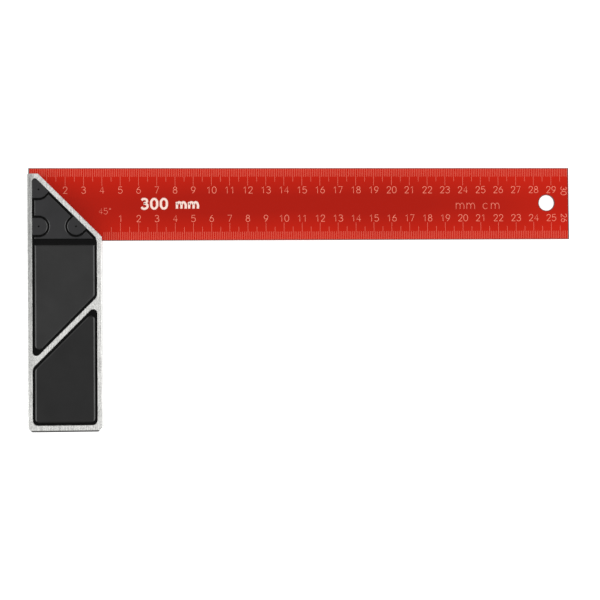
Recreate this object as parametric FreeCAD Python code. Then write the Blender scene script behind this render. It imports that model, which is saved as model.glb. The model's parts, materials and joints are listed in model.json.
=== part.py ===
"""Fixed carpenter's try and mitre square: a coated steel blade riveted in the slot of a die-cast stock.

The stock has moulded grip pads and rivet covers in recesses on both faces.  Units are millimetres.

Frame: the origin is the inside corner of the square, half way through the thickness.
+X runs along the blade towards its free end, +Y runs from the stock up across the blade, and +Z is
up out of the front face when the square lies flat on its back face.
"""
import FreeCAD, Part
import math
import os

# --- blade ---------------------------------------------------------------------------------------
BLADE_LENGTH = 300.0          # from the stock's outer face to the free end
BLADE_WIDTH = 40.0
BLADE_THICKNESS = 1.2
BLADE_EDGE_CHAMFER = 0.2      # ground bare edge
HANG_HOLE_RADIUS = 4.35
HANG_HOLE_FROM_END = 12.7     # hole's centre to the free end
HANG_HOLE_ABOVE_CENTRE = 0.4  # hole's centre above the blade's centre line

# --- stock casting -------------------------------------------------------------------------------
STOCK_WIDTH = 40.0            # outer reference face to inner reference face
STOCK_THICKNESS = 14.0
LEG_LENGTH = 144.0            # blade's outer edge to the stock's foot
BLADE_REVEAL = 3.7            # blade strip that stands above the stock's top end
TOP_FLAT = 5.8                # width of the stock's top end, before the mitre starts
FOOT_CHAMFER = 2.2            # the two corners of the foot, seen from the front
FACE_CHAMFER = 0.35           # all round each face
SLOT_CLEARANCE = 0.05         # each side of the blade

# --- recesses in the stock -----------------------------------------------------------------------
SIDE_RIM = 2.5
MITRE_RIM = 2.6               # measured square to the mitre
FOOT_RIM = 3.6
BRACE_BELOW_CORNER = 28.2     # inside corner down to the brace's upper side, on the inner face
BRACE_WIDTH = 2.7             # measured square to the brace
RECESS_DEPTH = 2.8
RECESS_CHAMFER = 0.2
APEX_RADIUS = 1.6             # recess corner radii, named for where they are
MITRE_CORNER_RADIUS = 5.0
BRACE_OPEN_RADIUS = 4.0
BRACE_SHARP_RADIUS = 2.2
FOOT_CORNER_RADIUS = 3.0

# --- rivets --------------------------------------------------------------------------------------
RIVET_RADIUS = 1.6
RIVET_HEAD_RADIUS = 2.6       # countersunk, 90 degrees, flush with the recess floor
RIVET_CLEARANCE = 0.02
RIVET_FROM_OUTER_FACE = 6.1
RIVET_ABOVE_BLADE_EDGE = 7.6
RIVET_FROM_MITRE = 5.85       # top and toe rivets to the mitre face

# --- covers and pads -----------------------------------------------------------------------------
WALL_CLEARANCE = 0.1          # mouldings to the recess wall, and flange to flange
FLANGE_THICKNESS = 1.0
MOULDING_BELOW_FACE = 0.4     # the metal rims stay proud of the mouldings
GROOVE_WIDTH = 1.4            # recess wall to the raised field
COVER_FOOT_ABOVE_EDGE = 0.8   # lower edge of the cover's field above the blade's inner edge
CROSS_GROOVE_WIDTH = 3.3      # between the rivet cover and the upper pad
BOSS_RADIUS = 4.7             # raised round boss over each rivet
BOSS_GROOVE_WIDTH = 1.1
DIMPLE_RADIUS = 0.5
DIMPLE_DEPTH = 0.4
COVER_CHAMFER = 0.3
PAD_CHAMFER = 0.7
PAD_CORNER_RADIUS = 2.2       # smallest corner of a raised pad
FIELD_CORNER_RADIUS = 0.4     # smallest corner of the cover's raised field
PEG_CLEARANCE = 0.05
PAD_PEG_RADIUS = 2.0
PAD_PEG_LENGTH = 2.4
COVER_PEG_RADIUS = 1.5
COVER_PEG_LENGTH = 1.5
PEG_END_GAP = 0.4             # peg end to the bottom of its blind hole
PEG_MARGIN = 8.0              # peg centre to the recess wall

# --- derived places ------------------------------------------------------------------------------
OUTER_X = -STOCK_WIDTH
INNER_X = 0.0
TOP_Y = BLADE_WIDTH - BLADE_REVEAL
FOOT_Y = BLADE_WIDTH - LEG_LENGTH
FACE_Z = STOCK_THICKNESS / 2
FLOOR_Z = FACE_Z - RECESS_DEPTH
FLANGE_Z = FLOOR_Z + FLANGE_THICKNESS
MOULDING_Z = FACE_Z - MOULDING_BELOW_FACE
MITRE_SUM = OUTER_X + TOP_FLAT + TOP_Y          # x + y anywhere on the mitre face
RIVET_OUTER_X = OUTER_X + RIVET_FROM_OUTER_FACE
RIVET_TOP_Y = MITRE_SUM - RIVET_FROM_MITRE * math.sqrt(2) - RIVET_OUTER_X
RIVET_PITCH = RIVET_TOP_Y - RIVET_ABOVE_BLADE_EDGE
RIVETS = {
    "rivet_top": (RIVET_OUTER_X, RIVET_TOP_Y),
    "rivet_heel": (RIVET_OUTER_X, RIVET_ABOVE_BLADE_EDGE),
    "rivet_toe": (RIVET_OUTER_X + RIVET_PITCH, RIVET_ABOVE_BLADE_EDGE),
}
CROSS_GROOVE_TOP_Y = COVER_FOOT_ABOVE_EDGE
CROSS_GROOVE_FOOT_Y = CROSS_GROOVE_TOP_Y - CROSS_GROOVE_WIDTH
FLANGE_SPLIT_Y = (CROSS_GROOVE_TOP_Y + CROSS_GROOVE_FOOT_Y) / 2
BRACE_OFFSET = BRACE_WIDTH * math.sqrt(2)       # the brace's width along Y

# outward directions of the sides, as seen from the front
LEFT, RIGHT, UP, DOWN = (-1.0, 0.0), (1.0, 0.0), (0.0, 1.0), (0.0, -1.0)
DIAGONAL = math.sqrt(0.5)
UP_RIGHT, DOWN_RIGHT = (DIAGONAL, DIAGONAL), (DIAGONAL, -DIAGONAL)
UP_LEFT, DOWN_LEFT = (-DIAGONAL, DIAGONAL), (-DIAGONAL, -DIAGONAL)
FAR = 2 * max(BLADE_LENGTH, LEG_LENGTH)         # past everything, for cutting boxes
ALMOST_ALL = 0.999                              # share of a cutter's height that its chamfer may take
SMALLEST_FIELD = 1.0                            # mm3: a thinner scrap between grooves is not moulded


def vector(x, y, z=0.0):
    return FreeCAD.Vector(x, y, z)


def side(direction, x, y, inset=0.0):
    """A straight side as (outward direction, distance): it passes through x, y, moved in by inset."""
    return direction, direction[0] * x + direction[1] * y - inset


def meeting_point(first, second):
    (ax, ay), a = first
    (bx, by), b = second
    turn = ax * by - ay * bx
    return vector((a * by - b * ay) / turn, (ax * b - bx * a) / turn)


def outline_wire(sides, radii, z):
    """Closed wire of straight sides, listed clockwise, with a corner radius after each side."""
    count = len(sides)
    corners = [meeting_point(sides[i], sides[(i + 1) % count]) for i in range(count)]
    arcs = []
    for i, corner in enumerate(corners):
        back = (corners[i - 1] - corner).normalize()
        ahead = (corners[(i + 1) % count] - corner).normalize()
        half = back.getAngle(ahead) / 2
        reach = radii[i] / math.tan(half)
        middle = (back + ahead).normalize() * (radii[i] / math.sin(half) - radii[i])
        arcs.append((corner + back * reach, corner + middle, corner + ahead * reach, radii[i] > 0))
    edges = []
    for i, (start, through, end, rounded) in enumerate(arcs):
        before = arcs[i - 1][2]
        edges.append(Part.LineSegment(before, start).toShape())
        if rounded:
            edges.append(Part.Arc(start, through, end).toShape())
    wire = Part.Wire(edges)
    wire.translate(vector(0, 0, z))
    return wire


def prism(sides, radii, low, high):
    return Part.Face(outline_wire(sides, radii, low)).extrude(vector(0, 0, high - low))


def band(y_low, y_high, z_low, z_high):
    """A box across the whole part between two heights, used to trim along Y."""
    return Part.makeBox(2 * FAR, y_high - y_low, z_high - z_low, vector(-FAR, y_low, z_low))


def cylinder(x, y, radius, low, high):
    return Part.makeCylinder(radius, high - low, vector(x, y, low))


def chamfer_at(shape, z, size, wanted=None):
    """Chamfers the edges that lie in the plane z and, where wanted is given, pass its test."""
    flat = [e for e in shape.Edges if abs(e.BoundBox.ZMin - z) < 1e-6 and abs(e.BoundBox.ZMax - z) < 1e-6]
    return shape.makeChamfer(size, [e for e in flat if wanted is None or wanted(e)])


def mirrored(shape):
    """The same thing on the back face."""
    return shape.mirror(vector(0, 0, 0), vector(0, 0, 1))


# --- outlines ------------------------------------------------------------------------------------
def stock_sides():
    foot = FOOT_CHAMFER * DIAGONAL
    return [
        side(LEFT, OUTER_X, 0),
        side(UP, 0, TOP_Y),
        side(UP_RIGHT, MITRE_SUM, 0),
        side(RIGHT, INNER_X, 0),
        side(DOWN_RIGHT, INNER_X, FOOT_Y, foot),
        side(DOWN, 0, FOOT_Y),
        side(DOWN_LEFT, OUTER_X, FOOT_Y, foot),
    ]


def upper_recess(inset, low, high, least_radius=FIELD_CORNER_RADIUS):
    """Prism of the recess above the brace, made smaller all round by inset."""
    sides = [
        side(LEFT, OUTER_X + SIDE_RIM, 0, inset),
        side(UP_RIGHT, MITRE_SUM, 0, MITRE_RIM + inset),
        side(RIGHT, INNER_X - SIDE_RIM, 0, inset),
        side(DOWN_RIGHT, INNER_X, -BRACE_BELOW_CORNER, inset),
    ]
    radii = [APEX_RADIUS, MITRE_CORNER_RADIUS, BRACE_OPEN_RADIUS, BRACE_SHARP_RADIUS]
    return prism(sides, [max(r - inset, least_radius) for r in radii], low, high)


def lower_recess(inset, low, high, least_radius=FIELD_CORNER_RADIUS):
    """Prism of the recess below the brace, made smaller all round by inset."""
    sides = [
        side(LEFT, OUTER_X + SIDE_RIM, 0, inset),
        side(UP_LEFT, INNER_X, -BRACE_BELOW_CORNER - BRACE_OFFSET, inset),
        side(RIGHT, INNER_X - SIDE_RIM, 0, inset),
        side(DOWN, 0, FOOT_Y + FOOT_RIM, inset),
    ]
    radii = [BRACE_OPEN_RADIUS, BRACE_SHARP_RADIUS, FOOT_CORNER_RADIUS, FOOT_CORNER_RADIUS]
    return prism(sides, [max(r - inset, least_radius) for r in radii], low, high)


def boss_footprint(name, radius, low, high):
    """Round boss over a rivet, carried straight out to the recess walls that are next to it."""
    walls = {"rivet_top": (180, 90, 45), "rivet_heel": (180,), "rivet_toe": (45,)}
    x, y = RIVETS[name]
    shape = cylinder(x, y, radius, low, high)
    for angle in walls[name]:
        arm = Part.makeBox(STOCK_WIDTH, 2 * radius, high - low, vector(x, y - radius, low))
        arm.rotate(vector(x, y, low), vector(0, 0, 1), angle)
        shape = shape.fuse(arm)
    return shape.removeSplitter()


def peg_places():
    """Where each moulding's locating pegs stand, as {moulding: [(x, y), ...]}."""
    middle = (OUTER_X + INNER_X) / 2
    near_outer = OUTER_X + SIDE_RIM + PEG_MARGIN
    near_inner = INNER_X - SIDE_RIM - PEG_MARGIN
    brace_top = near_outer - INNER_X - BRACE_BELOW_CORNER
    brace_foot = near_inner - INNER_X - BRACE_BELOW_CORNER - BRACE_OFFSET
    centroid_step = RIVET_PITCH / 3
    return {
        "rivet_cover": [(RIVET_OUTER_X + centroid_step, RIVET_ABOVE_BLADE_EDGE + centroid_step)],
        "upper_pad": [
            (middle, CROSS_GROOVE_FOOT_Y - PEG_MARGIN),
            (near_outer, brace_top + PEG_MARGIN * math.sqrt(2)),
        ],
        "lower_pad": [
            (near_inner, brace_foot - PEG_MARGIN * math.sqrt(2)),
            (middle, FOOT_Y + FOOT_RIM + PEG_MARGIN),
        ],
    }


def peg_size(name):
    if name == "rivet_cover":
        return COVER_PEG_RADIUS, COVER_PEG_LENGTH
    return PAD_PEG_RADIUS, PAD_PEG_LENGTH


# --- pieces --------------------------------------------------------------------------------------
def rivet(name, grow=0.0, blade_only=False):
    """Solid rivet with a countersunk head at each recess floor; grow makes its hole."""
    x, y = RIVETS[name]
    shape = cylinder(x, y, RIVET_RADIUS + grow, -FLOOR_Z, FLOOR_Z)
    if blade_only:
        return shape
    rise = RIVET_HEAD_RADIUS - RIVET_RADIUS
    for direction in (1, -1):
        cone = Part.makeCone(
            RIVET_RADIUS + grow,
            RIVET_HEAD_RADIUS + grow,
            rise,
            vector(x, y, direction * (FLOOR_Z - rise)),
            vector(0, 0, direction),
        )
        shape = shape.fuse(cone)
    return shape.removeSplitter()


def blade():
    shape = Part.makeBox(
        BLADE_LENGTH, BLADE_WIDTH, BLADE_THICKNESS, vector(OUTER_X, 0, -BLADE_THICKNESS / 2)
    )
    for z in (-BLADE_THICKNESS / 2, BLADE_THICKNESS / 2):
        shape = chamfer_at(shape, z, BLADE_EDGE_CHAMFER)
    hole_x = OUTER_X + BLADE_LENGTH - HANG_HOLE_FROM_END
    hole_y = BLADE_WIDTH / 2 + HANG_HOLE_ABOVE_CENTRE
    shape = shape.cut(cylinder(hole_x, hole_y, HANG_HOLE_RADIUS, -FACE_Z, FACE_Z))
    for name in RIVETS:
        shape = shape.cut(rivet(name, RIVET_CLEARANCE, blade_only=True))
    return shape


def stock_body():
    sides = stock_sides()
    shape = prism(sides, [0.0] * len(sides), -FACE_Z, FACE_Z)
    for z in (-FACE_Z, FACE_Z):
        shape = chamfer_at(shape, z, FACE_CHAMFER)
    for recess in (upper_recess, lower_recess):
        pocket = recess(0.0, FLOOR_Z, FACE_Z)
        rim_break = recess(-RECESS_CHAMFER, FACE_Z - RECESS_CHAMFER, FACE_Z)
        rim_break = chamfer_at(rim_break, FACE_Z - RECESS_CHAMFER, RECESS_CHAMFER * ALMOST_ALL)
        for tool in (pocket, rim_break):
            shape = shape.cut(tool).cut(mirrored(tool))
    slot = BLADE_THICKNESS / 2 + SLOT_CLEARANCE
    shape = shape.cut(band(0, FAR, -slot, slot))
    for name in RIVETS:
        shape = shape.cut(rivet(name, RIVET_CLEARANCE))
    for name, places in peg_places().items():
        radius, length = peg_size(name)
        for x, y in places:
            hole = cylinder(x, y, radius + PEG_CLEARANCE, FLOOR_Z - length - PEG_END_GAP, FLOOR_Z)
            shape = shape.cut(hole).cut(mirrored(hole))
    return shape


def with_pegs(shape, name):
    radius, length = peg_size(name)
    for x, y in peg_places()[name]:
        shape = shape.fuse(cylinder(x, y, radius, FLOOR_Z - length, FLOOR_Z))
    return shape.removeSplitter()


def rivet_cover():
    """Moulding over the riveted end: thin flange, raised field and a raised boss over each rivet."""
    above_split = band(FLANGE_SPLIT_Y + WALL_CLEARANCE / 2, FAR, 0, FACE_Z)
    shape = upper_recess(WALL_CLEARANCE, FLOOR_Z, FLANGE_Z).common(above_split)
    field = upper_recess(GROOVE_WIDTH, FLANGE_Z, MOULDING_Z).common(band(CROSS_GROOVE_TOP_Y, FAR, 0, FACE_Z))
    for name in RIVETS:
        field = field.cut(boss_footprint(name, BOSS_RADIUS + BOSS_GROOVE_WIDTH, 0, FACE_Z))
    islands = [solid for solid in field.Solids if solid.Volume > SMALLEST_FIELD]
    for name, (x, y) in RIVETS.items():
        boss = boss_footprint(name, BOSS_RADIUS, 0, FACE_Z)
        boss = boss.common(upper_recess(WALL_CLEARANCE, FLANGE_Z, MOULDING_Z))
        islands.append(boss)
    for island in islands:
        shape = shape.fuse(chamfer_at(island, MOULDING_Z, COVER_CHAMFER))
    for x, y in RIVETS.values():
        shape = shape.cut(cylinder(x, y, DIMPLE_RADIUS, MOULDING_Z - DIMPLE_DEPTH, FACE_Z))
    return with_pegs(shape, "rivet_cover")


def grip_pad(name, recess, y_high):
    """Moulding with a thin flange to the recess walls and a raised pad with a broad chamfer."""
    below = band(-FAR, y_high, 0, FACE_Z)
    flange_high = y_high + CROSS_GROOVE_WIDTH / 2 - WALL_CLEARANCE / 2
    flange = recess(WALL_CLEARANCE, FLOOR_Z, FLANGE_Z).common(band(-FAR, flange_high, 0, FACE_Z))
    pad = recess(GROOVE_WIDTH, FLANGE_Z, MOULDING_Z, PAD_CORNER_RADIUS).common(below)
    return with_pegs(flange.fuse(chamfer_at(pad, MOULDING_Z, PAD_CHAMFER)), name)


def export(name, shape):
    solids = shape.Solids
    if len(solids) != 1 or not shape.isValid():
        raise RuntimeError(f"{name}: {len(solids)} solids, valid {shape.isValid()}")
    solid = solids[0]
    if solid.Volume < 0:
        solid.reverse()
    solid.exportStep(f"parts/{name}.step")
    print(f"{name:18s} {solid.Volume / 1000:8.3f} cm3")


def main():
    os.makedirs("parts", exist_ok=True)
    export("stock_body", stock_body())
    export("blade", blade())
    for name in RIVETS:
        export(name, rivet(name))
    mouldings = {
        "rivet_cover": rivet_cover(),
        "upper_pad": grip_pad("upper_pad", upper_recess, CROSS_GROOVE_FOOT_Y),
        "lower_pad": grip_pad("lower_pad", lower_recess, CROSS_GROOVE_FOOT_Y),
    }
    for name, shape in mouldings.items():
        export("front_" + name, shape)
        export("back_" + name, mirrored(shape))


main()
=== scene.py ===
"""Looks of a riveted try and mitre square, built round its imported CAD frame.

The square lies on its back face: a red coated steel rule runs along +X from an aluminium stock, whose
front and back faces carry moulded covers and grip pads.  Lengths are in millimetres until the MM factor
turns them into Blender's metres.
"""
from __future__ import annotations

import json
import logging
import math
from dataclasses import dataclass, field
from enum import Enum

import bpy
from mathutils import Euler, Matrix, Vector

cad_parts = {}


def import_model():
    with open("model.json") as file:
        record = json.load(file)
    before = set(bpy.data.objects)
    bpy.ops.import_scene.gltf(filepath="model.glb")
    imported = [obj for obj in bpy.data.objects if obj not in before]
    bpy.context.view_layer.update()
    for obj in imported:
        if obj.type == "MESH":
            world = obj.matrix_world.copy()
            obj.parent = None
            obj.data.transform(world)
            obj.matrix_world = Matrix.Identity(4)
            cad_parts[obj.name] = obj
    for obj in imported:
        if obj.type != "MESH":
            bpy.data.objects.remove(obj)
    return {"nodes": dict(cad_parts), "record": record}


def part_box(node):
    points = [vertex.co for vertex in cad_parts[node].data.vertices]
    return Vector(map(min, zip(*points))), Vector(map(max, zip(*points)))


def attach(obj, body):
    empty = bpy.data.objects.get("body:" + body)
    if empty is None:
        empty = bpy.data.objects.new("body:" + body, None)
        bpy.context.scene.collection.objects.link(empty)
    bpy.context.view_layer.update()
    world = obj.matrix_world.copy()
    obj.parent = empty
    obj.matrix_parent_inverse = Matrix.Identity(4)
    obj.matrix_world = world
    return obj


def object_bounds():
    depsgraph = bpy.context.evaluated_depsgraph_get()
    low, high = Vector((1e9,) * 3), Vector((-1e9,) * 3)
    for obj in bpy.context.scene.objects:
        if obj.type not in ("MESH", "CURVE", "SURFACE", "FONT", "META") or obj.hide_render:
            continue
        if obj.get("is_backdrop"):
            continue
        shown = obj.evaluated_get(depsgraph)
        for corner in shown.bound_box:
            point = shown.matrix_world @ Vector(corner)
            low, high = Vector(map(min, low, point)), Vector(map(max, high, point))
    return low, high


LOG = logging.getLogger("try_square")
MM = 0.001
NOISE_RANGE = (0.3, 0.7)        # where nearly all values of a noise lie
CENTIMETRE = 10                 # in millimetres, as every length here
HALF_CENTIMETRE = 5
LEVEL_SHARE = 0.5               # a face lies level if its normal has more than this share of Z

NodeInput = bpy.types.NodeSocket | float | tuple
Inputs = dict[int | str, NodeInput]


class Side(Enum):
    """The two broad sides of the square; the value is the sign of the side's outward Z."""

    FRONT = 1
    BACK = -1

    @property
    def word(self) -> str:
        """The side's name, as it is used in the names of pieces."""
        return self.name.lower()


class RuleEdge(Enum):
    """The two long edges of the rule; the value is the sign of the edge's outward Y."""

    OUTER = 1
    INNER = -1

    @property
    def word(self) -> str:
        """The edge's name, as it is used in the names of pieces."""
        return self.name.lower()


# --- small tools ---------------------------------------------------------------------------------
def linear(hex_colour: str) -> tuple[float, float, float, float]:
    """Turns an sRGB hex colour into the linear colour that shaders use.

    Args:
        hex_colour: six hex digits, with or without a leading #.

    Returns:
        Linear red, green and blue, and an alpha of 1.
    """
    digits = hex_colour.lstrip("#")
    shares = [int(digits[i : i + 2], 16) / 255 for i in (0, 2, 4)]
    red, green, blue = [s / 12.92 if s <= 0.04045 else ((s + 0.055) / 1.055) ** 2.4 for s in shares]
    return red, green, blue, 1.0


def add_node(
    tree: bpy.types.NodeTree, kind: str, inputs: Inputs | None = None, **settings: object
) -> bpy.types.Node:
    """Adds a node with its settings, and fills or links its inputs.

    Args:
        tree: the node tree that gets the node.
        kind: the node's type, such as ShaderNodeMath.
        inputs: a value, or the socket that feeds it, for each input by its number or name.
        settings: the node's own properties, such as operation.

    Returns:
        The new node.
    """
    node = tree.nodes.new(kind)
    for name, value in settings.items():
        setattr(node, name, value)
    for key, value in (inputs or {}).items():
        if isinstance(value, bpy.types.NodeSocket):
            tree.links.new(value, node.inputs[key])
        else:
            node.inputs[key].default_value = value
    return node


def deselect_all() -> None:
    """Deselects every object, because the operators act on all that is selected."""
    bpy.ops.object.select_all(action="DESELECT")


def select_only(*pieces: bpy.types.Object) -> None:
    """Selects some objects alone and makes the first one active.

    Args:
        pieces: the objects.
    """
    deselect_all()
    for piece in pieces:
        piece.select_set(True)
    bpy.context.view_layer.objects.active = pieces[0]


def settle(piece: bpy.types.Object) -> None:
    """Moves an object's place, turn and scale into its mesh, so that it sits at the origin.

    Args:
        piece: the object, which has a mesh.
    """
    select_only(piece)
    bpy.ops.object.transform_apply(location=True, rotation=True, scale=True)


def join(pieces: list[bpy.types.Object], name: str) -> bpy.types.Object:
    """Joins mesh objects into one that sits at the origin.

    Args:
        pieces: the objects to join.
        name: the joined object's name.

    Returns:
        The joined object.
    """
    select_only(*pieces)
    bpy.ops.object.join()
    whole = bpy.context.view_layer.objects.active
    whole.name = name
    whole.data.name = name
    settle(whole)
    return whole


def repeat(piece: bpy.types.Object, count: int, step: float) -> None:
    """Repeats a mesh along +X with an array that is applied.

    Args:
        piece: the object to repeat.
        count: how many there are in the end.
        step: distance from one to the next, in millimetres.
    """
    array = piece.modifiers.new("repeat", "ARRAY")
    array.count = count
    array.use_relative_offset = False
    array.use_constant_offset = True
    array.constant_offset_displace = (step * MM, 0.0, 0.0)
    select_only(piece)
    bpy.ops.object.modifier_apply(modifier=array.name)


def wear(piece: bpy.types.Object, material: bpy.types.Material) -> None:
    """Gives every face of a piece one material.

    Args:
        piece: a new piece or a CAD node.
        material: what it gets in place of any material that it has.
    """
    piece.data.materials.clear()
    piece.data.materials.append(material)
    for polygon in piece.data.polygons:
        polygon.material_index = 0


# --- finishes ------------------------------------------------------------------------------------
@dataclass(frozen=True)
class Finish:
    """A finish: a named material that is built from nodes and reads millimetre coordinates."""

    name: str

    def material(self) -> bpy.types.Material:
        """Builds the material.

        Returns:
            A material with a Principled shader that the finish has dressed.
        """
        material = bpy.data.materials.new(self.name)
        material.use_nodes = True
        tree = material.node_tree
        tree.nodes.clear()
        shader = add_node(tree, "ShaderNodeBsdfPrincipled")
        add_node(tree, "ShaderNodeOutputMaterial", {"Surface": shader.outputs["BSDF"]})
        place = add_node(tree, "ShaderNodeTexCoord").outputs["Object"]
        millimetres = add_node(tree, "ShaderNodeVectorMath", {0: place, "Scale": 1 / MM}, operation="SCALE")
        self.dress(tree, shader, millimetres.outputs[0])
        return material

    def dress(
        self, tree: bpy.types.NodeTree, shader: bpy.types.Node, place: bpy.types.NodeSocket
    ) -> None:
        """Adds the finish's own nodes.

        Args:
            tree: the material's node tree.
            shader: its Principled shader.
            place: the point's place on the square, in millimetres.
        """
        raise NotImplementedError


@dataclass(frozen=True)
class MilledCasting(Finish):
    """Die-cast aluminium alloy with milled faces: bright satin flats with fine cutter marks.

    Bare metal gives soft broad reflections.  The rim round the recesses is streaked along its length,
    the outer bar is painted greyer as painted shade, and a dark line of painted shade runs along the foot.
    """

    bright: str = "E8E8E5"
    dull: str = "B2B2B0"
    rubbed: str = "BCBDBD"          # painted shade: greys the outer bar
    skin: str = "3A3938"            # the cast skin of the recess floors, and painted shade as a dark line along the foot
    # the band along the foot where the face and its chamfer are painted dark as painted shade
    sawn_end: tuple[float, float] = (-103.5, -102.9)
    recess_level: float = 6.0       # above the recess floors, from the middle of the stock
    level_share: float = 0.9        # of a level face: its normal's share of Z
    steep_share: float = 0.5        # the same for a side or an end
    sawn_share: float = 0.7         # how bright the sawn end is, against the milled faces
    cutter_mark: float = 0.35       # across the streaks; drawn coarser than the real 0.1 so that it shows
    streak_length: float = 9.0
    grain: float = 0.55
    mottle_range: tuple[float, float] = (0.40, 0.58)    # of the noise, from dull to bright
    grain_share: float = 0.5        # in the mottle, against the streaks
    relief: float = 0.02            # depth of the marks
    bump: float = 0.35
    outer_bar: tuple[float, float] = (-38.2, -35.5)
    film: float = 0.85              # strength of the painted shade at the bar's top end
    film_fades: tuple[float, float] = (-100.0, 0.0)     # from nothing near the foot to all of it
    roughness: tuple[float, float] = (0.34, 0.52)

    def dress(
        self, tree: bpy.types.NodeTree, shader: bpy.types.Node, place: bpy.types.NodeSocket
    ) -> None:
        """Adds the streaks and the grain, the painted shade on the outer bar, the dark recess floors and
        the painted shade line along the foot.

        Args:
            tree: the material's node tree.
            shader: its Principled shader.
            place: the point's place on the square, in millimetres.
        """
        across = (1 / self.cutter_mark, 1 / self.streak_length, 1 / self.cutter_mark)
        stretched = add_node(tree, "ShaderNodeMapping", {"Vector": place, "Scale": across})
        streaks = add_node(
            tree, "ShaderNodeTexNoise", {"Vector": stretched.outputs[0], "Scale": 1.0, "Detail": 3.0}
        )
        grain = add_node(
            tree, "ShaderNodeTexNoise", {"Vector": place, "Scale": 1 / self.grain, "Detail": 4.0}
        )
        mottle = add_node(
            tree,
            "ShaderNodeMix",
            {0: self.grain_share, 2: streaks.outputs["Fac"], 3: grain.outputs["Fac"]},
        )
        level = add_node(
            tree,
            "ShaderNodeMapRange",
            {
                "Value": mottle.outputs[0],
                "From Min": self.mottle_range[0],
                "From Max": self.mottle_range[1],
            },
        )
        metal = add_node(
            tree,
            "ShaderNodeMix",
            {0: level.outputs[0], 6: linear(self.dull), 7: linear(self.bright)},
            data_type="RGBA",
        )
        apart = add_node(tree, "ShaderNodeSeparateXYZ", {0: place})
        # painted shade: the outer bar is greyed, most at its top end and fading out towards the foot
        rubbed = add_node(
            tree,
            "ShaderNodeMapRange",
            {
                "Value": apart.outputs["X"],
                "From Min": self.outer_bar[0],
                "From Max": self.outer_bar[1],
                "To Min": self.film,
                "To Max": 0.0,
            },
            interpolation_type="SMOOTHSTEP",
        )
        fade = add_node(
            tree,
            "ShaderNodeMapRange",
            {
                "Value": apart.outputs["Y"],
                "From Min": self.film_fades[0],
                "From Max": self.film_fades[1],
            },
        )
        film = add_node(
            tree, "ShaderNodeMath", {0: rubbed.outputs[0], 1: fade.outputs[0]}, operation="MULTIPLY"
        )
        colour = add_node(
            tree,
            "ShaderNodeMix",
            {0: film.outputs[0], 6: metal.outputs[2], 7: linear(self.rubbed)},
            data_type="RGBA",
            blend_type="MULTIPLY",
        )
        # painted shade: 0 in the band along the foot, where the skin colour darkens the face and its
        # chamfer
        milled = add_node(
            tree,
            "ShaderNodeMapRange",
            {
                "Value": apart.outputs["Y"],
                "From Min": self.sawn_end[0],
                "From Max": self.sawn_end[1],
            },
        )
        facing = add_node(tree, "ShaderNodeNewGeometry").outputs["True Normal"]
        facing_parts = add_node(tree, "ShaderNodeSeparateXYZ", {0: facing})
        upright = add_node(tree, "ShaderNodeMath", {0: facing_parts.outputs["Z"]}, operation="ABSOLUTE")
        height = add_node(tree, "ShaderNodeMath", {0: apart.outputs["Z"]}, operation="ABSOLUTE")
        leaning = add_node(
            tree, "ShaderNodeMath", {0: upright.outputs[0], 1: self.level_share}, operation="LESS_THAN"
        )
        steep = add_node(
            tree, "ShaderNodeMath", {0: upright.outputs[0], 1: self.steep_share}, operation="LESS_THAN"
        )
        raised = add_node(
            tree, "ShaderNodeMath", {0: height.outputs[0], 1: self.recess_level}, operation="GREATER_THAN"
        )
        open_face = add_node(
            tree, "ShaderNodeMath", {0: leaning.outputs[0], 1: raised.outputs[0]}, operation="MAXIMUM"
        )
        sawn = add_node(
            tree, "ShaderNodeMath", {0: steep.outputs[0], 1: self.sawn_share}, operation="MULTIPLY"
        )
        past_foot = add_node(
            tree, "ShaderNodeMath", {0: milled.outputs[0], 1: sawn.outputs[0]}, operation="MAXIMUM"
        )
        metal_shows = add_node(
            tree, "ShaderNodeMath", {0: past_foot.outputs[0], 1: open_face.outputs[0]}, operation="MINIMUM"
        )
        whole = add_node(
            tree,
            "ShaderNodeMix",
            {0: metal_shows.outputs[0], 6: linear(self.skin), 7: colour.outputs[2]},
            data_type="RGBA",
        )
        rough = add_node(
            tree,
            "ShaderNodeMapRange",
            {
                "Value": mottle.outputs[0],
                "From Min": NOISE_RANGE[0],
                "From Max": NOISE_RANGE[1],
                "To Min": self.roughness[0],
                "To Max": self.roughness[1],
            },
        )
        relief = add_node(
            tree,
            "ShaderNodeBump",
            {"Strength": self.bump, "Distance": self.relief * MM, "Height": mottle.outputs[0]},
        )
        tree.links.new(whole.outputs[2], shader.inputs["Base Color"])
        tree.links.new(rough.outputs[0], shader.inputs["Roughness"])
        tree.links.new(relief.outputs[0], shader.inputs["Normal"])
        shader.inputs["Metallic"].default_value = 1.0


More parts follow.
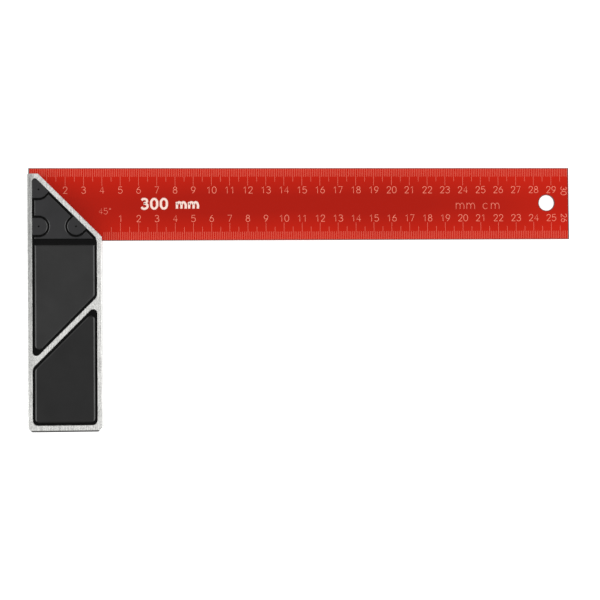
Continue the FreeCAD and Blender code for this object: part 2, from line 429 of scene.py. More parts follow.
@dataclass(frozen=True)
class CoatedRule(Finish):
    """Red baked enamel on spring steel: a satin, faintly rippled coat, ground off along every edge.

    The coat keeps a soft sheen and a very slight orange peel.  The bare edge is ground steel, painted
    darker as painted shade along the edges and round the hole.
    """

    low: Vector = Vector((0.0, 0.0, 0.0))
    high: Vector = Vector((0.0, 0.0, 0.0))
    hole: Vector = Vector((0.0, 0.0, 0.0))
    hole_radius: float = 1.0
    coat: str = "A21201"
    coat_light: str = "BC1A04"      # where the coat is thinnest, towards the edges
    # ground steel of the bare edges, painted darker than bare steel as painted shade along the edges, the
    # ends and the hole
    steel: str = "4C4745"
    bare: float = 0.34              # width of the bare edge, seen on the flat
    bare_end: float = 0.55          # the same at the sheared ends
    ripple: float = 1.4             # orange peel
    mottle: float = 70.0            # size of the coat's slow changes in thickness
    unevenness: float = 0.3         # their strength
    end_share: float = 0.6          # how far the ends count, against the long edges
    thins: tuple[float, float] = (0.26, 0.92)    # from thick to thin, as a share of the half width
    coat_roughness: tuple[float, float] = (0.36, 0.44)
    relief: float = 0.02            # depth of the orange peel
    bump: float = 0.25
    specular: float = 0.1
    steel_roughness: float = 0.3
    edge_blur: tuple[float, float] = (-0.05, 0.03)      # from coat to steel, across the bare edge's line
    skin: float = 0.1               # deeper than this below its faces, the rule is bare

    def dress(
        self, tree: bpy.types.NodeTree, shader: bpy.types.Node, place: bpy.types.NodeSocket
    ) -> None:
        """Adds the coat, its bare edges and its ripple.

        Args:
            tree: the material's node tree.
            shader: its Principled shader.
            place: the point's place on the square, in millimetres.
        """
        coat = add_node(
            tree,
            "ShaderNodeMix",
            {0: self.thinness(tree, place), 6: linear(self.coat), 7: linear(self.coat_light)},
            data_type="RGBA",
        )
        bare = self.bare_edge(tree, place)
        colour = add_node(
            tree,
            "ShaderNodeMix",
            {0: bare, 6: coat.outputs[2], 7: linear(self.steel)},
            data_type="RGBA",
        )
        peel = add_node(
            tree, "ShaderNodeTexNoise", {"Vector": place, "Scale": 1 / self.ripple, "Detail": 2.0}
        )
        satin = add_node(
            tree,
            "ShaderNodeMapRange",
            {
                "Value": peel.outputs["Fac"],
                "From Min": NOISE_RANGE[0],
                "From Max": NOISE_RANGE[1],
                "To Min": self.coat_roughness[0],
                "To Max": self.coat_roughness[1],
            },
        )
        rough = add_node(
            tree, "ShaderNodeMix", {0: bare, 2: satin.outputs[0], 3: self.steel_roughness}
        )
        relief = add_node(
            tree,
            "ShaderNodeBump",
            {"Strength": self.bump, "Distance": self.relief * MM, "Height": peel.outputs["Fac"]},
        )
        shader.inputs["Specular IOR Level"].default_value = self.specular
        tree.links.new(colour.outputs[2], shader.inputs["Base Color"])
        tree.links.new(bare, shader.inputs["Metallic"])
        tree.links.new(rough.outputs[0], shader.inputs["Roughness"])
        tree.links.new(relief.outputs[0], shader.inputs["Normal"])

    def thinness(
        self, tree: bpy.types.NodeTree, place: bpy.types.NodeSocket
    ) -> bpy.types.NodeSocket:
        """How thin the coat is: it ran together in the middle of the rule while it was wet.

        Args:
            tree: the material's node tree.
            place: the point's place, in millimetres.

        Returns:
            A socket that is 0 where the coat is thick and 1 where it is thin.
        """
        centre = (self.low + self.high) / 2
        half = (self.high - self.low) / 2
        inward = add_node(
            tree, "ShaderNodeVectorMath", {0: place, 1: tuple(centre)}, operation="SUBTRACT"
        )
        shares = add_node(
            tree,
            "ShaderNodeVectorMath",
            {0: inward.outputs[0], 1: (self.end_share / half.x, 1 / half.y, 0.0)},
            operation="MULTIPLY",
        )
        reach = add_node(tree, "ShaderNodeVectorMath", {0: shares.outputs[0]}, operation="LENGTH")
        cloud = add_node(
            tree, "ShaderNodeTexNoise", {"Vector": place, "Scale": 1 / self.mottle, "Detail": 1.0}
        )
        uneven = add_node(
            tree,
            "ShaderNodeMapRange",
            {"Value": cloud.outputs["Fac"], "To Min": -self.unevenness, "To Max": self.unevenness},
        )
        total = add_node(tree, "ShaderNodeMath", {0: reach.outputs["Value"], 1: uneven.outputs[0]})
        return add_node(
            tree,
            "ShaderNodeMapRange",
            {"Value": total.outputs[0], "From Min": self.thins[0], "From Max": self.thins[1]},
        ).outputs[0]

    def bare_edge(
        self, tree: bpy.types.NodeTree, place: bpy.types.NodeSocket
    ) -> bpy.types.NodeSocket:
        """A mask that is 1 on the bare edges and 0 on the coat.

        Args:
            tree: the material's node tree.
            place: the point's place, in millimetres.

        Returns:
            The mask's socket.
        """
        centre = (self.low + self.high) / 2
        half = (self.high - self.low) / 2 - Vector((self.bare_end, self.bare, self.skin))
        inward = add_node(
            tree, "ShaderNodeVectorMath", {0: place, 1: tuple(centre)}, operation="SUBTRACT"
        )
        size = add_node(tree, "ShaderNodeVectorMath", {0: inward.outputs[0]}, operation="ABSOLUTE")
        past = add_node(
            tree, "ShaderNodeVectorMath", {0: size.outputs[0], 1: tuple(half)}, operation="SUBTRACT"
        )
        parts = add_node(tree, "ShaderNodeSeparateXYZ", {0: past.outputs[0]})
        flank = add_node(
            tree, "ShaderNodeMath", {0: parts.outputs["X"], 1: parts.outputs["Y"]}, operation="MAXIMUM"
        )
        wall = add_node(tree, "ShaderNodeMath", {0: parts.outputs["Z"], 1: -1.0}, operation="MULTIPLY")
        level = add_node(
            tree, "ShaderNodeVectorMath", {0: place, 1: (1.0, 1.0, 0.0)}, operation="MULTIPLY"
        )
        reach = add_node(
            tree,
            "ShaderNodeVectorMath",
            {0: level.outputs[0], 1: (self.hole.x, self.hole.y, 0.0)},
            operation="DISTANCE",
        )
        rim = add_node(
            tree,
            "ShaderNodeMath",
            {0: self.hole_radius + self.bare, 1: reach.outputs["Value"]},
            operation="SUBTRACT",
        )
        edge = add_node(
            tree, "ShaderNodeMath", {0: flank.outputs[0], 1: rim.outputs[0]}, operation="MAXIMUM"
        )
        through = add_node(
            tree, "ShaderNodeMath", {0: edge.outputs[0], 1: wall.outputs[0]}, operation="MAXIMUM"
        )
        return add_node(
            tree,
            "ShaderNodeMapRange",
            {
                "Value": through.outputs[0],
                "From Min": self.edge_blur[0],
                "From Max": self.edge_blur[1],
            },
        ).outputs[0]


@dataclass(frozen=True)
class MouldedPlastic(Finish):
    """Glass-filled nylon moulded in a spark-eroded tool: near black, with a fine even matt grain.

    The grain scatters light into a soft grey sheen, the grooves are painted almost black as painted shade,
    and the bevels along the stock's long sides are painted lighter as a painted highlight.
    """

    top: str = "323232"
    # painted highlight on the bevels along the stock's long sides
    rubbed: str = "6A6A6A"
    # painted shade in the grooves
    deep: str = "020202"
    grain: float = 0.30             # drawn coarser than the real 0.1, so that it shows
    blotch: float = 12.0
    speckle: float = 0.5            # the grain's share in the shade, against the blotches'
    speckle_range: tuple[float, float] = (0.35, 0.65)
    darkest: float = 0.78           # of the surface's shades, against the lightest
    relief: float = 0.03            # depth of the grain
    bump: float = 0.3
    groove_levels: tuple[float, float] = (5.3, 5.9)     # painted shade below, from the middle of the stock
    lean: tuple[float, float] = (0.45, 0.68)            # of a bevel with a painted highlight, as its normal's share of X
    specular: float = 0.1
    roughness: tuple[float, float] = (0.40, 0.52)

    def dress(
        self, tree: bpy.types.NodeTree, shader: bpy.types.Node, place: bpy.types.NodeSocket
    ) -> None:
        """Adds the grain, the soft blotches, the painted highlight on the bevels and the painted shade in
        the grooves.

        Args:
            tree: the material's node tree.
            shader: its Principled shader.
            place: the point's place on the square, in millimetres.
        """
        apart = add_node(tree, "ShaderNodeSeparateXYZ", {0: place})
        height = add_node(tree, "ShaderNodeMath", {0: apart.outputs["Z"]}, operation="ABSOLUTE")
        # painted shade: 0 in the grooves, where the colour turns near black
        raised = add_node(
            tree,
            "ShaderNodeMapRange",
            {
                "Value": height.outputs[0],
                "From Min": self.groove_levels[0],
                "From Max": self.groove_levels[1],
            },
        )
        facing = add_node(tree, "ShaderNodeNewGeometry").outputs["True Normal"]
        facing_parts = add_node(tree, "ShaderNodeSeparateXYZ", {0: facing})
        sideways = add_node(tree, "ShaderNodeMath", {0: facing_parts.outputs["X"]}, operation="ABSOLUTE")
        # painted highlight on the bevels that lean towards X
        bevel = add_node(
            tree,
            "ShaderNodeMapRange",
            {"Value": sideways.outputs[0], "From Min": self.lean[0], "From Max": self.lean[1]},
        )
        surface = add_node(
            tree,
            "ShaderNodeMix",
            {0: bevel.outputs[0], 6: linear(self.top), 7: linear(self.rubbed)},
            data_type="RGBA",
        )
        blotch = add_node(
            tree, "ShaderNodeTexNoise", {"Vector": place, "Scale": 1 / self.blotch, "Detail": 3.0}
        )
        grain = add_node(
            tree, "ShaderNodeTexNoise", {"Vector": place, "Scale": 1 / self.grain, "Detail": 2.0}
        )
        speckle = add_node(
            tree,
            "ShaderNodeMix",
            {0: self.speckle, 2: blotch.outputs["Fac"], 3: grain.outputs["Fac"]},
        )
        shade = add_node(
            tree,
            "ShaderNodeMapRange",
            {
                "Value": speckle.outputs[0],
                "From Min": self.speckle_range[0],
                "From Max": self.speckle_range[1],
                "To Min": self.darkest,
                "To Max": 1.0,
            },
        )
        lit = add_node(
            tree, "ShaderNodeMath", {0: raised.outputs[0], 1: shade.outputs[0]}, operation="MULTIPLY"
        )
        colour = add_node(
            tree,
            "ShaderNodeMix",
            {0: lit.outputs[0], 6: linear(self.deep), 7: surface.outputs[2]},
            data_type="RGBA",
        )
        rough = add_node(
            tree,
            "ShaderNodeMapRange",
            {
                "Value": grain.outputs["Fac"],
                "From Min": NOISE_RANGE[0],
                "From Max": NOISE_RANGE[1],
                "To Min": self.roughness[0],
                "To Max": self.roughness[1],
            },
        )
        relief = add_node(
            tree,
            "ShaderNodeBump",
            {"Strength": self.bump, "Distance": self.relief * MM, "Height": grain.outputs["Fac"]},
        )
        tree.links.new(colour.outputs[2], shader.inputs["Base Color"])
        tree.links.new(rough.outputs[0], shader.inputs["Roughness"])
        tree.links.new(relief.outputs[0], shader.inputs["Normal"])
        shader.inputs["Specular IOR Level"].default_value = self.specular


@dataclass(frozen=True)
class PrintedInk(Finish):
    """Pad-printed ink on the coat: matt, slightly uneven, with the red showing faintly through."""

    full: str = "FD957C"
    thin: str = "EF856E"
    spread: float = 0.6
    roughness: float = 0.6

    def dress(
        self, tree: bpy.types.NodeTree, shader: bpy.types.Node, place: bpy.types.NodeSocket
    ) -> None:
        """Adds ink that is thicker in some places than in others.

        Args:
            tree: the material's node tree.
            shader: its Principled shader.
            place: the point's place on the square, in millimetres.
        """
        cover = add_node(
            tree, "ShaderNodeTexNoise", {"Vector": place, "Scale": 1 / self.spread, "Detail": 2.0}
        )
        colour = add_node(
            tree,
            "ShaderNodeMix",
            {0: cover.outputs["Fac"], 6: linear(self.thin), 7: linear(self.full)},
            data_type="RGBA",
        )
        tree.links.new(colour.outputs[2], shader.inputs["Base Color"])
        shader.inputs["Roughness"].default_value = self.roughness


@dataclass(frozen=True)
class ZincPlate(Finish):
    """Bright zinc plate on mild steel rivets: grey blue metal with hammer marks from setting."""

    light: str = "B9BCC0"
    dark: str = "8D9196"
    dent: float = 0.7
    relief: float = 0.03            # depth of the dents
    bump: float = 0.4
    roughness: float = 0.3

    def dress(
        self, tree: bpy.types.NodeTree, shader: bpy.types.Node, place: bpy.types.NodeSocket
    ) -> None:
        """Adds the plate and its small dents.

        Args:
            tree: the material's node tree.
            shader: its Principled shader.
            place: the point's place on the square, in millimetres.
        """
        dents = add_node(
            tree, "ShaderNodeTexNoise", {"Vector": place, "Scale": 1 / self.dent, "Detail": 3.0}
        )
        colour = add_node(
            tree,
            "ShaderNodeMix",
            {0: dents.outputs["Fac"], 6: linear(self.dark), 7: linear(self.light)},
            data_type="RGBA",
        )
        relief = add_node(
            tree,
            "ShaderNodeBump",
            {"Strength": self.bump, "Distance": self.relief * MM, "Height": dents.outputs["Fac"]},
        )
        tree.links.new(colour.outputs[2], shader.inputs["Base Color"])
        tree.links.new(relief.outputs[0], shader.inputs["Normal"])
        shader.inputs["Metallic"].default_value = 1.0
        shader.inputs["Roughness"].default_value = self.roughness


@dataclass(frozen=True)
class OpalFloor(Finish):
    """White opal acrylic, lit a little from below: a plain, very pale floor with faint soft shadows.

    It sends up more light from below than it reflects, so that hardly any colour bounces onto it.
    """

    tone: str = "B4B4B4"            # of what it reflects
    lamp: str = "FFFFFF"
    roughness: float = 0.9
    specular: float = 0.1
    glow: float = 0.88

    def dress(
        self, tree: bpy.types.NodeTree, shader: bpy.types.Node, place: bpy.types.NodeSocket
    ) -> None:
        """Sets one even tone with a faint glow.

        Args:
            tree: the material's node tree; not used here.
            shader: its Principled shader.
            place: the point's place on the square, in millimetres; not used here.
        """
        shader.inputs["Base Color"].default_value = linear(self.tone)
        shader.inputs["Roughness"].default_value = self.roughness
        shader.inputs["Specular IOR Level"].default_value = self.specular
        shader.inputs["Emission Color"].default_value = linear(self.lamp)
        shader.inputs["Emission Strength"].default_value = self.glow


# --- the rule's printing -------------------------------------------------------------------------
@dataclass(frozen=True)
class Stroke:
    """One pen stroke of a character, in a box that is one unit high."""

    points: tuple[tuple[float, float], ...]
    curved: bool = True
    closed: bool = False


def ring(middle: tuple[float, float], across: float, up: float) -> Stroke:
    """A closed round stroke.

    Args:
        middle: its middle.
        across: half its width.
        up: half its height.

    Returns:
        The stroke.
    """
    x, y = middle
    return Stroke(((x, y + up), (x + across, y), (x, y - up), (x - across, y)), closed=True)


def line(*points: tuple[float, float]) -> Stroke:
    """A stroke of straight runs through the points."""
    return Stroke(points, curved=False)


SIX = (
    Stroke(((0.46, 1.0), (0.17, 0.72), (0.01, 0.33))),
    ring((0.31, 0.31), 0.30, 0.31),
)
CHARACTERS: dict[str, tuple[Stroke, ...]] = {
    "0": (
        Stroke(
            (
                (0.31, 1.0), (0.58, 0.78), (0.61, 0.5), (0.58, 0.22),
                (0.31, 0.0), (0.04, 0.22), (0.01, 0.5), (0.04, 0.78),
            ),
            closed=True,
        ),
    ),
    "1": (line((0.12, 0.76), (0.38, 1.0), (0.38, 0.0)),),
    "2": (
        Stroke((
            (0.03, 0.72), (0.09, 0.91), (0.31, 1.0), (0.53, 0.91), (0.59, 0.72), (0.5, 0.52), (0.02, 0.0),
        )),
        line((0.02, 0.0), (0.62, 0.0)),
    ),
    "3": (
        Stroke(((0.03, 0.85), (0.14, 0.97), (0.34, 0.99), (0.54, 0.87), (0.53, 0.66), (0.24, 0.54))),
        Stroke(((0.24, 0.54), (0.56, 0.43), (0.59, 0.16), (0.34, 0.0), (0.12, 0.03), (0.01, 0.17))),
    ),
    "4": (line((0.46, 0.0), (0.46, 1.0), (0.0, 0.3), (0.63, 0.3)),),
    "5": (
        line((0.56, 1.0), (0.1, 1.0), (0.05, 0.54)),
        Stroke((
            (0.05, 0.54), (0.32, 0.64), (0.57, 0.5), (0.59, 0.2), (0.33, 0.0), (0.11, 0.04), (0.01, 0.15),
        )),
    ),
    "6": SIX,
    "7": (line((0.0, 1.0), (0.6, 1.0), (0.2, 0.0)),),
    "8": (ring((0.31, 0.775), 0.24, 0.225), ring((0.31, 0.27), 0.3, 0.27)),
    "9": tuple(
        Stroke(tuple((0.62 - x, 1.0 - y) for x, y in stroke.points), closed=stroke.closed) for stroke in SIX
    ),
    "°": (ring((0.2, 0.88), 0.12, 0.12),),
    "c": (Stroke(((0.52, 0.52), (0.31, 0.64), (0.06, 0.5), (0.06, 0.14), (0.31, 0.0), (0.52, 0.12))),),
    "m": (
        line((0.0, 0.0), (0.0, 0.68)),
        Stroke(((0.0, 0.42), (0.22, 0.66), (0.44, 0.42), (0.44, 0.0))),
        Stroke(((0.44, 0.42), (0.66, 0.66), (0.88, 0.42), (0.88, 0.0))),
    ),
    " ": (),
}
DIGIT_WIDTH = 0.62
WIDTHS = {"m": 0.88, " ": 0.3}      # of the characters that are not as wide as a digit


@dataclass
class Pen:
    """Prints characters of one height and one line width on one side of the rule."""

    side: Side
    surface: float                  # the rule's face, as a distance from its middle
    height: float = 3.6
    line_width: float = 0.28
    gap: float = 0.22               # between characters, as a share of the height
    ink: float = 0.012              # thickness; half of it stands above the coat
    section_steps: int = 1          # of Blender's bevel, round the ridge
    curve_steps: int = 3            # between two points of a stroke
    models: dict[str, bpy.types.Object] = field(default_factory=dict)

    def draw(self, stroke: Stroke) -> bpy.types.Object:
        """Draws one stroke as a low ridge of ink.

        Args:
            stroke: the stroke.

        Returns:
            A closed mesh, with the character's lower left corner at the origin.
        """
        deselect_all()
        bpy.ops.curve.primitive_bezier_curve_add(enter_editmode=True)
        bpy.ops.curve.select_all(action="SELECT")
        bpy.ops.curve.delete(type="VERT")
        for x, y in stroke.points:
            bpy.ops.curve.vertex_add(location=(x * self.height, y * self.height, 0.0))
        bpy.ops.curve.select_all(action="SELECT")
        bpy.ops.curve.handle_type_set(type="AUTOMATIC" if stroke.curved else "VECTOR")
        if stroke.closed:
            bpy.ops.curve.cyclic_toggle()
        bpy.ops.object.mode_set(mode="OBJECT")
        path = bpy.context.active_object
        path.data.bevel_depth = self.line_width / 2
        path.data.bevel_resolution = self.section_steps
        path.data.resolution_u = self.curve_steps
        path.data.use_fill_caps = True
        bpy.ops.object.convert(target="MESH")
        ridge = bpy.context.active_object
        ridge.scale = (MM, MM, MM * self.ink / self.line_width)
        settle(ridge)
        return ridge

    def model(self, character: str) -> bpy.types.Object:
        """Finds a character's one model, and makes it when it is first needed.

        Args:
            character: one of CHARACTERS.

        Returns:
            The model, which is copied and never printed itself.
        """
        if character not in self.models:
            self.models[character] = join([self.draw(s) for s in CHARACTERS[character]], "character")
        return self.models[character]

    def write(self, words: str, middle: tuple[float, float], turn: float = 0.0) -> bpy.types.Object:
        """Prints a short run of characters.

        Args:
            words: the characters.
            middle: X and Y of the run's middle, in millimetres.
            turn: how far the run is turned to the left, in degrees.

        Returns:
            A mesh that stands on the rule's face.
        """
        widths = [WIDTHS.get(character, DIGIT_WIDTH) for character in words]
        start = -(sum(widths) + self.gap * (len(words) - 1)) / 2
        copies = []
        for character, width in zip(words, widths):
            if CHARACTERS[character]:
                copy = self.model(character).copy()
                copy.data = copy.data.copy()
                bpy.context.collection.objects.link(copy)
                copy.location = Vector((start, -0.5, 0.0)) * self.height * MM
                copies.append(copy)
            start += width + self.gap
        run = join(copies, "run")
        over = 0.0 if self.side is Side.FRONT else math.pi
        run.rotation_euler = Euler((0.0, over, math.radians(turn)), "XYZ")
        run.location = Vector((middle[0], middle[1], self.surface * self.side.value)) * MM
        settle(run)
        return run

    def put_away(self) -> None:
        """Removes the models once their copies are printed."""
        for model in self.models.values():
            bpy.data.objects.remove(model)
        self.models.clear()


@dataclass
class Scale:
    """One edge's millimetre scale on one side of the rule."""

    side: Side
    edge: RuleEdge
    zero: float                     # X of the scale's zero
    border: float                   # Y of the rule's edge
    surface: float
    centimetres: int
    last_digits: tuple[float, float]    # their middle, from the tip and from the edge
    tick_width: float = 0.11
    shoulder: tuple[float, float] = (0.8, 0.995)        # the ridge's top, as shares of its foot
    ink: float = 0.012
    lengths: tuple[float, float, float] = (4.8, 7.5, 9.7)   # at 1, 5 and 10 mm
    last_height: float = 3.1        # of the turned digits at the tip
    last_turn: float = -90.0        # their turn on the front, in degrees
    digit_middle: float = 12.15     # from the rule's edge

    def tick(self, x: float, length: float) -> bpy.types.Object:
        """Prints one tick, as a low ridge of ink with narrowed shoulders.

        Args:
            x: the tick's X, in millimetres.
            length: its length from the rule's edge, in millimetres.

        Returns:
            The tick.
        """
        away = self.side.value
        y = self.border - self.edge.value * length / 2
        z = away * (self.surface + self.ink / 2)
        deselect_all()
        bpy.ops.mesh.primitive_cube_add(
            size=1.0,
            location=Vector((x, y, z)) * MM,
            scale=Vector((self.tick_width, length, self.ink)) * MM,
        )
        tick = bpy.context.active_object
        settle(tick)
        bpy.ops.object.mode_set(mode="EDIT")
        bpy.ops.mesh.select_all(action="DESELECT")
        bpy.ops.object.mode_set(mode="OBJECT")
        for polygon in tick.data.polygons:
            polygon.select = polygon.normal.z * away > LEVEL_SHARE
        bpy.ops.object.mode_set(mode="EDIT")
        bpy.ops.transform.resize(value=(*self.shoulder, 1.0))
        bpy.ops.object.mode_set(mode="OBJECT")
        return tick

    def ticks(self) -> list[bpy.types.Object]:
        """Prints the whole comb of ticks, from 1 mm to the last whole one.

        Returns:
            The meshes of the three lengths.
        """
        short, middle, long = self.lengths
        single = self.tick(self.zero + 1, short)
        repeat(single, HALF_CENTIMETRE - 1, 1)
        repeat(single, 2 * self.centimetres, HALF_CENTIMETRE)
        half = self.tick(self.zero + HALF_CENTIMETRE, middle)
        repeat(half, self.centimetres, CENTIMETRE)
        whole = self.tick(self.zero + CENTIMETRE, long)
        repeat(whole, self.centimetres - 1, CENTIMETRE)
        return [single, half, whole]

    def numerals(self) -> list[bpy.types.Object]:
        """Prints the centimetre numbers; the last one is turned, because it stands at the tip.

        Returns:
            One mesh for each number.
        """
        pen = Pen(self.side, self.surface, ink=self.ink)
        small_pen = Pen(self.side, self.surface, height=self.last_height, ink=self.ink)
        y = self.border - self.edge.value * self.digit_middle
        runs = [
            pen.write(str(number), (self.zero + CENTIMETRE * number, y))
            for number in range(1, self.centimetres)
        ]
        inward, across = self.last_digits
        tip = self.zero + CENTIMETRE * self.centimetres
        place = (tip - inward, self.border - self.edge.value * across)
        runs.append(small_pen.write(str(self.centimetres), place, self.last_turn * self.side.value))
        pen.put_away()
        small_pen.put_away()
        return runs


@dataclass
class Rule:
    """The blade with its coat, its two scales on each side and its plain unit marks."""

    low: Vector
    high: Vector
    hole: Vector
    hole_radius: float
    inner_face: float
    angle_mark: tuple[float, float] = (2.0, 16.3)       # the marks' middles
    length_mark: tuple[float, float] = (37.0, 20.3)
    unit_mark: tuple[float, float] = (208.3, 19.6)
    last_outer: tuple[float, float] = (2.85, 12.85)     # the last numbers, from the tip and the edge
    last_inner: tuple[float, float] = (2.85, 11.95)
    angle_height: float = 3.2
    angle_line: float = 0.18
    unit_height: float = 5.0
    unit_line: float = 0.22
    unit_gap: float = 0.32          # between characters, as a share of their height
    length_height: float = 5.4
    length_line: float = 1.4
    length_gap: float = 0.36

    def coat(self, node: bpy.types.Object) -> None:
        """Gives the CAD blade its coat."""
        finish = CoatedRule("red_enamel_on_steel", self.low, self.high, self.hole, self.hole_radius)
        wear(node, finish.material())

    def scales(self, side: Side) -> list[Scale]:
        """The outer and the inner scale of one side.

        Args:
            side: the side of the rule.

        Returns:
            The two scales.
        """
        ends = (
            (RuleEdge.OUTER, self.low.x, self.high.y, self.last_outer),
            (RuleEdge.INNER, self.inner_face, self.low.y, self.last_inner),
        )
        return [
            Scale(
                side, edge, zero, border, self.high.z, round((self.high.x - zero) / CENTIMETRE), last
            )
            for edge, zero, border, last in ends
        ]

    def fine_marks(self, side: Side) -> list[bpy.types.Object]:
        """The angle mark at the mitre and the unit mark.

        Args:
            side: the side of the rule.

        Returns:
            One mesh for each mark.
        """
        angle = Pen(side, self.high.z, self.angle_height, self.angle_line)
        unit = Pen(side, self.high.z, self.unit_height, self.unit_line, self.unit_gap)
        marks = [angle.write("45°", self.angle_mark), unit.write("mm cm", self.unit_mark)]
        angle.put_away()
        unit.put_away()
        return marks

    def length_marks(self, side: Side) -> list[bpy.types.Object]:
        """The bold length mark.

        Args:
            side: the side of the rule.

        Returns:
            Its one mesh.
        """
        bold = Pen(side, self.high.z, self.length_height, self.length_line, self.length_gap)
        marks = [bold.write("300 mm", self.length_mark)]
        bold.put_away()
        return marks

    def print_side(
        self, side: Side, fine: bpy.types.Material, bold: bpy.types.Material
    ) -> list[bpy.types.Object]:
        """Prints one side of the rule.

        Args:
            side: the side to print.
            fine: the material of the fine lines.
            bold: the material of the bold mark.

        Returns:
            The finished pieces.
        """
        runs = []
        for scale in self.scales(side):
            label = f"{side.word}_{scale.edge.word}"
            runs.append((f"{label}_ticks", scale.ticks(), fine))
            runs.append((f"{label}_numerals", scale.numerals(), fine))
        runs.append((f"{side.word}_fine_marks", self.fine_marks(side), fine))
        runs.append((f"{side.word}_length_mark", self.length_marks(side), bold))
        pieces = []
        for name, parts, ink in runs:
            piece = join(parts, name)
            wear(piece, ink)
            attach(piece, "root")
            pieces.append(piece)
        return pieces


# --- the stock -----------------------------------------------------------------------------------
@dataclass
class Stock:
    """The casting, its rivets and the mouldings on both sides."""

    casting: MilledCasting = MilledCasting("milled_aluminium_casting")
    plate: ZincPlate = ZincPlate("zinc_plated_rivet")
    # the cover's shallow groove levels paint its dimples and grooves near black as painted shade
    cover: MouldedPlastic = MouldedPlastic("nylon_rivet_cover", top="323233", groove_levels=(6.21, 6.32))
    pads: dict[str, MouldedPlastic] = field(
        default_factory=lambda: {
            "upper_pad": MouldedPlastic("nylon_upper_pad", top="323232"),
            "lower_pad": MouldedPlastic("nylon_lower_pad", top="272727"),
        }
    )
    rivets: tuple[str, ...] = ("rivet_top", "rivet_heel", "rivet_toe")

    def dress(self, nodes: dict[str, bpy.types.Object]) -> list[bpy.types.Object]:
        """Gives each CAD node of the stock its finish.

        Args:
            nodes: the CAD nodes by name.

        Returns:
            The nodes that were dressed.
        """
        finishes = {"stock_body": self.casting.material()}
        plate = self.plate.material()
        finishes.update({name: plate for name in self.rivets})
        mouldings = {"rivet_cover": self.cover, **self.pads}
        for part, finish in mouldings.items():
            material = finish.material()
            finishes.update({f"{side.word}_{part}": material for side in Side})
        for name, material in finishes.items():
            wear(nodes[name], material)
        return [nodes[name] for name in finishes]


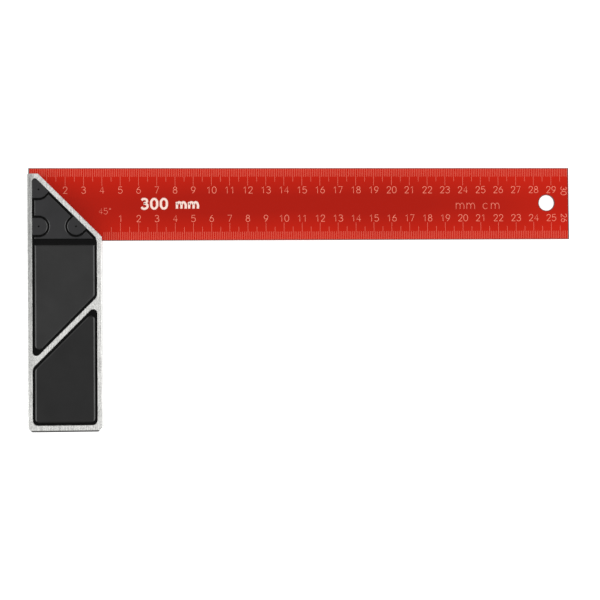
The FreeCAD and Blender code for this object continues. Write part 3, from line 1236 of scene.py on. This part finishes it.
# --- the studio ----------------------------------------------------------------------------------
@dataclass
class Studio:
    """Camera, a soft light tent with a dimmer crown, two low side lights and a pale floor."""

    camera_place: Vector = field(default_factory=lambda: Vector((45.06, -54.53, 856.53)))
    camera_turn: tuple[float, float, float] = (1.463, -4.224, -0.479)   # in degrees
    lens: float = 93.2
    sensor: float = 36.0
    floor_size: float = 8000.0
    side_size: float = 600.0
    side_distance: float = 900.0
    side_height: float = 260.0
    side_watts: float = 2.5
    skirt: float = 0.14             # the tent's brightness at the horizon
    wall: float = 1.10              # on its slopes
    crown: float = 0.90             # straight overhead, where flat faces mirror it
    seen: float = 1.0               # where the eye meets it directly, past the floor's edge
    skirt_ends: tuple[float, float] = (0.10, 0.42)  # heights, as the sine of the elevation
    crown_starts: tuple[float, float] = (0.88, 0.97)

    def camera(self) -> None:
        """Sets the camera over the square, looking almost straight down."""
        data = bpy.data.cameras.new("camera")
        data.lens = self.lens
        data.sensor_width = self.sensor
        data.clip_start = 1 * MM
        camera = bpy.data.objects.new("camera", data)
        camera.location = self.camera_place * MM
        camera.rotation_euler = Euler([math.radians(a) for a in self.camera_turn], "XYZ")
        bpy.context.collection.objects.link(camera)
        bpy.context.scene.camera = camera

    def side_light(self, name: str, sign: int, target: Vector) -> None:
        """Adds a low soft light at one end of the rule.

        Args:
            name: the light's name.
            sign: 1 for the +X end, -1 for the other.
            target: what it points at, in millimetres.
        """
        data = bpy.data.lights.new(name, "AREA")
        data.shape = "SQUARE"
        data.size = self.side_size * MM
        data.energy = self.side_watts
        light = bpy.data.objects.new(name, data)
        away = Vector((sign * self.side_distance, 0.0, self.side_height))
        light.location = (target + away) * MM
        light.rotation_euler = (-away).to_track_quat("-Z", "Y").to_euler()
        bpy.context.collection.objects.link(light)

    def tent(self) -> None:
        """Surrounds the square with a soft tent of light, dim at the skirt and at the crown."""
        world = bpy.data.worlds.new("light_tent")
        world.use_nodes = True
        tree = world.node_tree
        tree.nodes.clear()
        aim = add_node(tree, "ShaderNodeTexCoord")
        parts = add_node(tree, "ShaderNodeSeparateXYZ", {0: aim.outputs["Generated"]})
        bands = (
            (self.skirt_ends, (self.skirt, self.wall)),
            (self.crown_starts, (1.0, self.crown / self.wall)),
        )
        levels = [
            add_node(
                tree,
                "ShaderNodeMapRange",
                {
                    "Value": parts.outputs["Z"],
                    "From Min": heights[0],
                    "From Max": heights[1],
                    "To Min": tones[0],
                    "To Max": tones[1],
                },
                interpolation_type="SMOOTHSTEP",
            )
            for heights, tones in bands
        ]
        strength = add_node(
            tree,
            "ShaderNodeMath",
            {0: levels[0].outputs[0], 1: levels[1].outputs[0]},
            operation="MULTIPLY",
        )
        direct = add_node(tree, "ShaderNodeLightPath").outputs["Is Camera Ray"]
        shown = add_node(
            tree, "ShaderNodeMix", {0: direct, 2: strength.outputs[0], 3: self.seen}
        )
        light = add_node(tree, "ShaderNodeBackground", {"Strength": shown.outputs[0]})
        light.inputs["Color"].default_value = linear("FFFFFF")
        add_node(tree, "ShaderNodeOutputWorld", {"Surface": light.outputs[0]})
        bpy.context.scene.world = world

    def floor(self, centre: Vector, level: float) -> None:
        """Lays a pale floor under the square.

        Args:
            centre: the square's middle, in millimetres.
            level: the floor's Z, in millimetres.
        """
        deselect_all()
        bpy.ops.mesh.primitive_plane_add(
            size=self.floor_size * MM, location=Vector((centre.x, centre.y, level)) * MM
        )
        floor = bpy.context.active_object
        floor.name = "floor"
        settle(floor)
        wear(floor, OpalFloor("opal_acrylic_floor").material())
        floor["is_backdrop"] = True

    def build(self, centre: Vector, level: float) -> None:
        """Sets up the whole studio round the square.

        Args:
            centre: the square's middle, in millimetres.
            level: the floor's Z, in millimetres.
        """
        self.camera()
        self.side_light("left_light", -1, centre)
        self.side_light("right_light", 1, centre)
        self.tent()
        self.floor(centre, level)
        bpy.context.scene.view_settings.view_transform = "Standard"


def main() -> None:
    """Builds the square's looks and the studio, and reports each piece."""
    logging.basicConfig(level=logging.INFO, format="%(name)s: %(message)s")
    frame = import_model()
    cad_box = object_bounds()
    low, high = (Vector(corner) / MM for corner in cad_box)
    nodes = frame["nodes"]
    mounts = {mount["name"]: mount for mount in frame["record"]["mounts"]}

    for node in Stock().dress(nodes):
        LOG.info("dressed %s in %s", node.name, node.data.materials[0].name)

    blade_low, blade_high = (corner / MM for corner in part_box("blade"))
    hole = mounts["hang_hole"]
    rule = Rule(
        blade_low,
        blade_high,
        Vector(hole["pos_m"]) / MM,
        hole["dims"]["r_mm"],
        mounts["stock_inner_face"]["pos_m"][0] / MM,
    )
    rule.coat(nodes["blade"])
    LOG.info("dressed blade in %s", nodes["blade"].data.materials[0].name)
    fine = PrintedInk("pad_printed_fine_lines").material()
    bold = PrintedInk("pad_printed_solid", full="F4D9CF", thin="F0CFC3", spread=2.5).material()
    for side in Side:
        for piece in rule.print_side(side, fine, bold):
            LOG.info("printed %s, %d faces", piece.name, len(piece.data.polygons))

    Studio().build((low + high) / 2, low.z)


if __name__ == "__main__":
    main()
